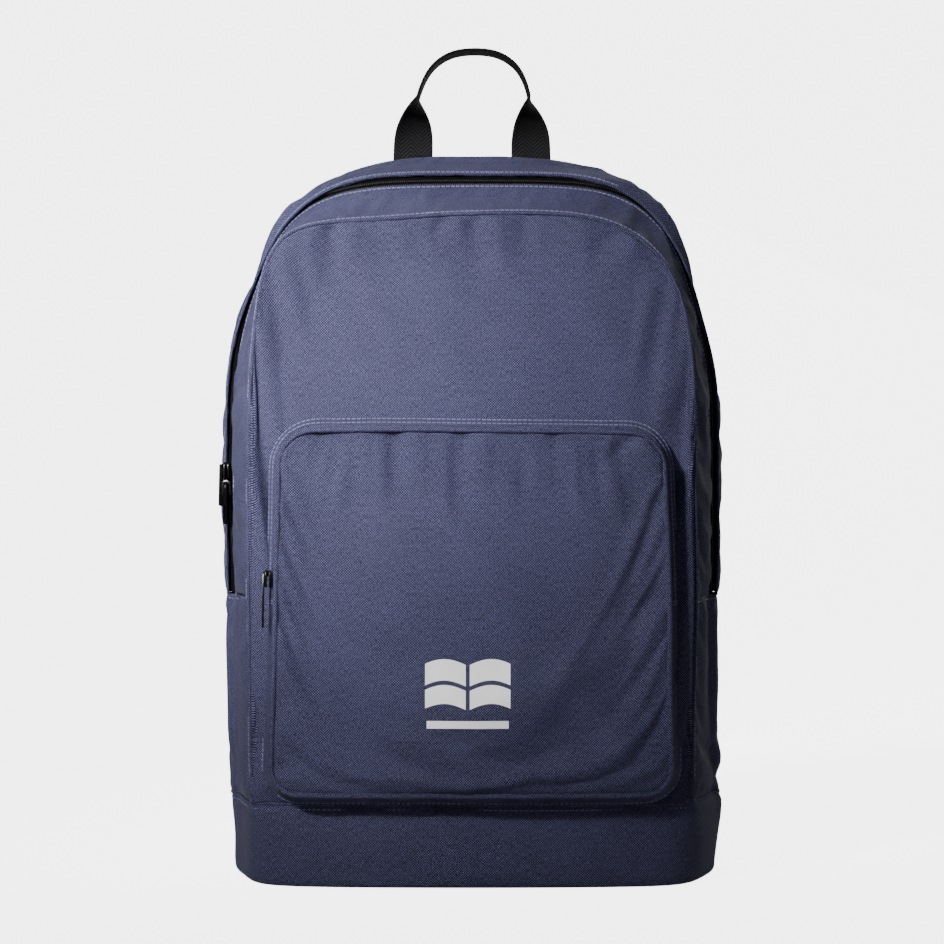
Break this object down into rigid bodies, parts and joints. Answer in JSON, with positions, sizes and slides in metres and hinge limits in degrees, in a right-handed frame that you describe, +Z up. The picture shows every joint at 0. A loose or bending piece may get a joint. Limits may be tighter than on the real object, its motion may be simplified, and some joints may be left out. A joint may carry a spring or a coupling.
{
  "type": "school backpack",
  "caption": "Arched school backpack with a zipped main compartment, a zipped front pocket, a seamed base, a webbing carry handle and padded shoulder straps.",
  "frame": {"origin": "on the floor, under the middle of the base", "axes": "+Z up, -Y the way the front pocket faces, +X to the right of someone who looks at the front pocket"},
  "size_m": [0.3105, 0.2058, 0.5164],
  "materials": {
    "pack_cloth": "indigo woven polyester with a fine diagonal grain",
    "webbing": "black herringbone webbing",
    "zip_tape": "black coil zip tape",
    "zip_metal": "gloss black enamel",
    "buckle": "black moulded plastic",
    "foam": "grey closed-cell foam"
  },
  "bodies": {
    "bag": {"back_panel": "pack_cloth", "back_foam": "foam", "laptop_sleeve": "pack_cloth", "yoke_patch": "webbing", "rear_band": "pack_cloth", "front_band_left": "pack_cloth", "front_band_right": "pack_cloth", "side_panel_left": "pack_cloth", "side_panel_right": "pack_cloth", "front_panel_lower": "pack_cloth", "front_piping_left": "pack_cloth", "front_piping_right": "pack_cloth", "main_zip_rear": "zip_tape", "main_zip_front_left": "zip_tape", "main_zip_front_right": "zip_tape", "base_panel": "pack_cloth", "base_stiffener": "foam", "pocket_top_band": "pack_cloth", "pocket_zip_inner": "zip_tape", "pocket_zip_outer": "zip_tape", "pocket_gusset": "pack_cloth", "pocket_front": "pack_cloth", "pocket_piping": "pack_cloth", "strap_tab_left": "pack_cloth", "strap_tab_right": "pack_cloth"},
    "mouth_flap": {"front_panel_upper": "pack_cloth", "front_band_upper": "pack_cloth", "front_piping_upper": "pack_cloth", "main_zip_front_upper": "zip_tape"},
    "upper_slider": {"main_slider_upper": "zip_metal"},
    "upper_pull": {"main_pull_upper": "zip_metal"},
    "lower_slider": {"main_slider_lower": "zip_metal"},
    "lower_pull": {"main_pull_lower": "zip_metal"},
    "pocket_slider": {"pocket_slider": "zip_metal"},
    "pocket_pull": {"pocket_pull": "zip_metal"},
    "handle": {"carry_handle": "webbing"},
    "strap_left": {"shoulder_strap_left": "pack_cloth", "buckle_loop_left": "webbing", "ladder_lock_left": "buckle", "strap_webbing_left": "webbing"},
    "strap_right": {"shoulder_strap_right": "pack_cloth", "buckle_loop_right": "webbing", "ladder_lock_right": "buckle", "strap_webbing_right": "webbing"}
  },
  "joints": [
    {"name": "mouth_flap_fold", "type": "hinge", "parent": "bag", "child": "mouth_flap", "pos_m": [0, -0.0566, 0.292], "axis": [1, 0, 0], "range_deg": [0, 35]},
    {"name": "upper_slider_run", "type": "slide", "parent": "bag", "child": "upper_slider", "axis": [0.0069, 0.0285, 0.9996], "range_m": [0, 0.034]},
    {"name": "upper_pull_swing", "type": "hinge", "parent": "upper_slider", "child": "upper_pull", "pos_m": [-0.15481, 0.0067, 0.25072], "axis": [-0.6448, 0.7641, -0.0173], "range_deg": [0, 150]},
    {"name": "lower_slider_run", "type": "slide", "parent": "bag", "child": "lower_slider", "axis": [-0.0069, -0.0285, -0.9996], "range_m": [0, 0.055]},
    {"name": "lower_pull_swing", "type": "hinge", "parent": "lower_slider", "child": "lower_pull", "pos_m": [-0.15191, 0.00286, 0.23969], "axis": [-0.6423, 0.7663, -0.0174], "range_deg": [0, 150]},
    {"name": "pocket_slider_run", "type": "slide", "parent": "bag", "child": "pocket_slider", "axis": [0.0163, 0.053, 0.9985], "range_m": [0, 0.058]},
    {"name": "pocket_pull_swing", "type": "hinge", "parent": "pocket_slider", "child": "pocket_pull", "pos_m": [-0.1233, -0.07077, 0.18617], "axis": [-0.0009, 0.9986, -0.053], "range_deg": [0, 150]},
    {"name": "handle_fold", "type": "hinge", "parent": "bag", "child": "handle", "pos_m": [0, 0.0658, 0.45004], "axis": [1, 0, 0], "range_deg": [-85, 60]},
    {"name": "strap_left_swing", "type": "hinge", "parent": "bag", "child": "strap_left", "pos_m": [-0.046, 0.0813, 0.391], "axis": [0.2418, 0.0228, 0.9701], "range_deg": [-10, 10]},
    {"name": "strap_right_swing", "type": "hinge", "parent": "bag", "child": "strap_right", "pos_m": [0.046, 0.0813, 0.391], "axis": [0.2418, -0.0228, -0.9701], "range_deg": [-10, 10]}
  ]
}
